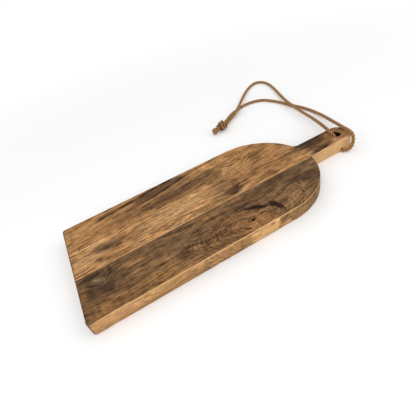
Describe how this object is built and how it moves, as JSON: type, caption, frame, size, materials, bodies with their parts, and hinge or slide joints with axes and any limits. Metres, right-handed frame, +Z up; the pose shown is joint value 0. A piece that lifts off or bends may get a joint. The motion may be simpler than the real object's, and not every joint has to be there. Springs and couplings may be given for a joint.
{
  "type": "paddle charcuterie board",
  "caption": "Paddle serving board of light and dark planks glued edge to edge, with an arched end, a bar handle and a knotted hanging cord through a hole in the handle.",
  "frame": {"origin": "under the middle of the board's length and width, on the surface that it lies on", "axes": "+X along the board towards the handle's end, +Y across it towards the outer plank's edge, +Z up from the underside to the serving face"},
  "size_m": [0.573, 0.4529, 0.0344],
  "materials": {
    "light_wood": "oiled, satin, golden brown with dark streaks",
    "dark_wood": "oiled, satin, dark brown with knots",
    "wood_glue": "cured glue film",
    "jute_cord": "twisted natural fibre, matte"
  },
  "bodies": {
    "root": {"outer_plank": "light_wood", "handle_plank": "light_wood", "dark_plank": "dark_wood", "outer_glue_line": "wood_glue", "dark_glue_line": "wood_glue", "cord_top_strand": "jute_cord", "cord_under_strand": "jute_cord", "cord_knot": "jute_cord", "cord_tails": "jute_cord"}
  },
  "joints": []
}
